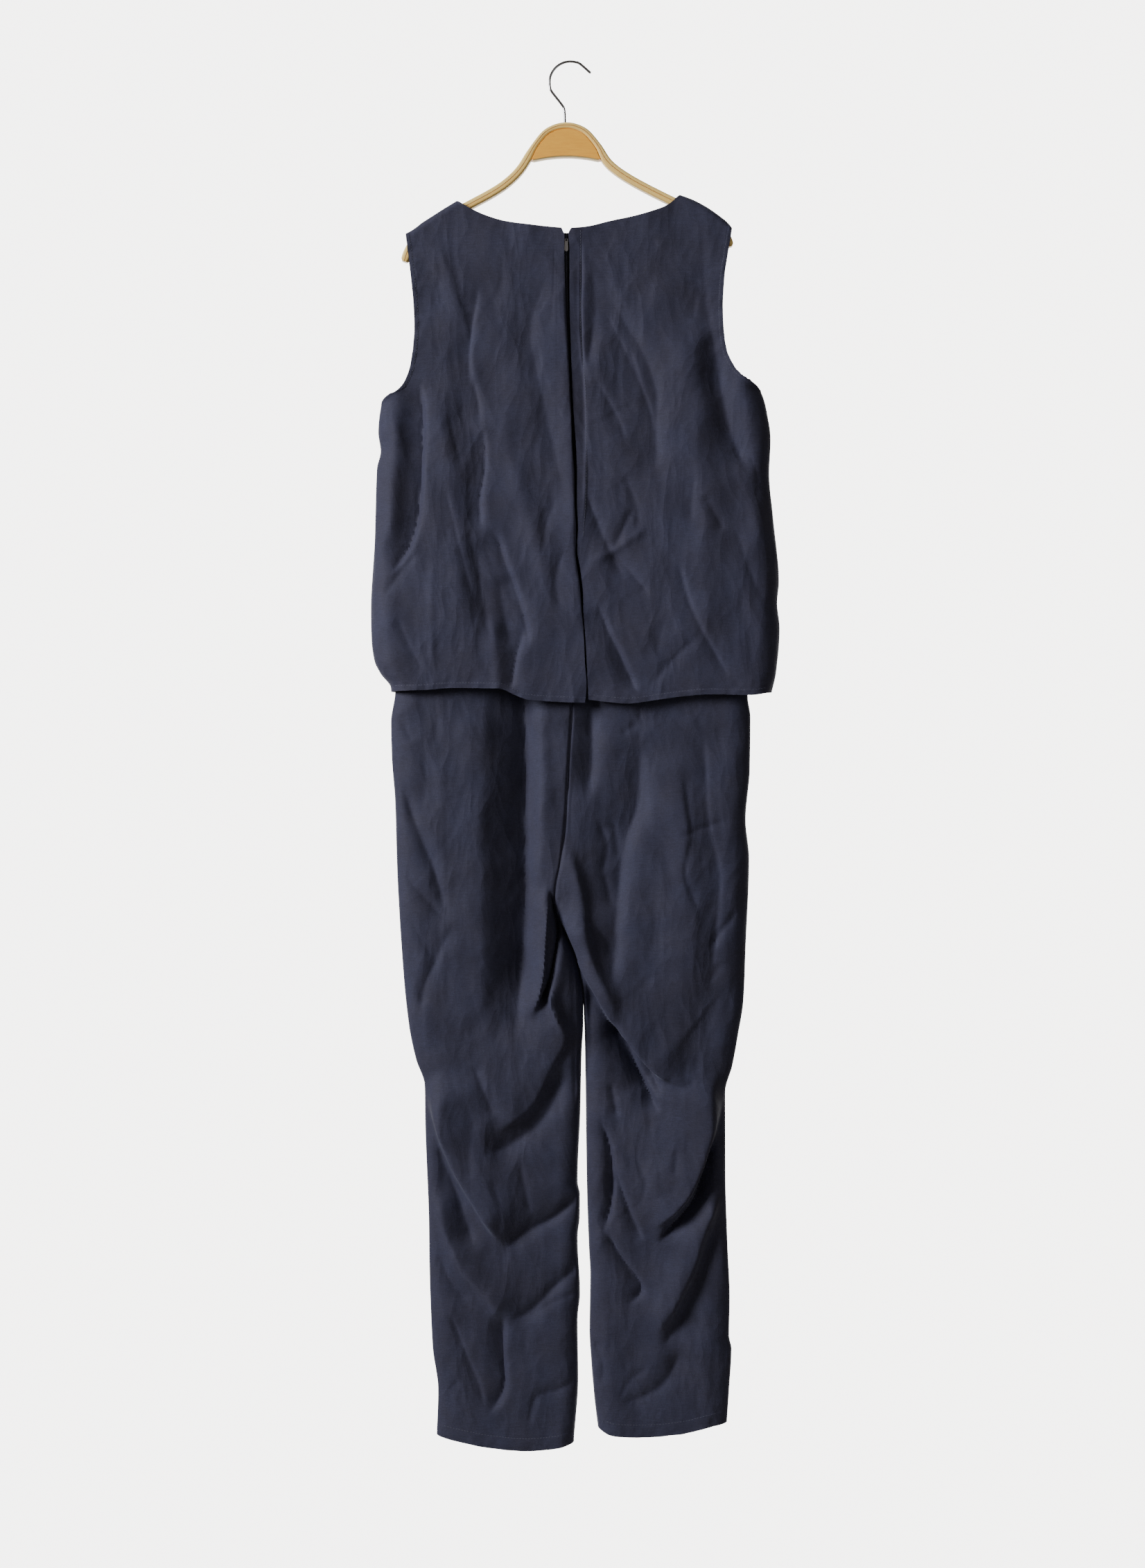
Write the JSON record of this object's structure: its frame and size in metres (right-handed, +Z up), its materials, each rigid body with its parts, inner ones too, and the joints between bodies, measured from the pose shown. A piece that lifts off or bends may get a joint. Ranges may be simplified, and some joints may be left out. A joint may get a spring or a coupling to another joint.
{
  "type": "jumpsuit on a hanger",
  "caption": "Sleeveless wide-necked jumpsuit with a loose top layer split down the back over narrow trousers, hung on a bent wooden hanger with a wire hook.",
  "frame": {"origin": "inside top of the hanger's hook, where a rail carries it", "axes": "+Z up, -Y out of the garment's back with its zip, +Y out of its front, +X towards the wearer's right"},
  "size_m": [0.4897, 0.0589, 1.6621],
  "materials": {
    "top_cloth": "dull fine crepe twill, dark navy",
    "trouser_cloth": "dull fine crepe twill, darker navy",
    "bodice_cloth": "smooth dull lightweight cloth, near black navy",
    "zip_tape": "woven tape with small coiled teeth",
    "zip_metal": "small plated casting",
    "band_wood": "bent laminated beech, clear satin varnish",
    "panel_wood": "veneered panel, clear satin varnish",
    "hook_steel": "plated bright wire"
  },
  "bodies": {
    "garment": {"hanger_hook": "hook_steel", "hanger_band": "band_wood", "hanger_panel": "panel_wood", "top_back_left": "top_cloth", "top_back_right": "top_cloth", "top_front": "top_cloth", "bodice_back_left": "bodice_cloth", "bodice_back_right": "bodice_cloth", "bodice_front": "bodice_cloth", "trouser_back_left": "trouser_cloth", "trouser_back_right": "trouser_cloth", "trouser_front_left": "trouser_cloth", "trouser_front_right": "trouser_cloth", "zip_chain": "zip_tape", "zip_slider": "zip_metal"},
    "pull_tab": {"zip_pull": "zip_metal"}
  },
  "joints": [
    {"name": "pull_tab_hinge", "type": "hinge", "parent": "garment", "child": "pull_tab", "pos_m": [-0.00494, -0.01303, -0.2148], "axis": [-1, 0, 0], "range_deg": [0, 120]}
  ]
}
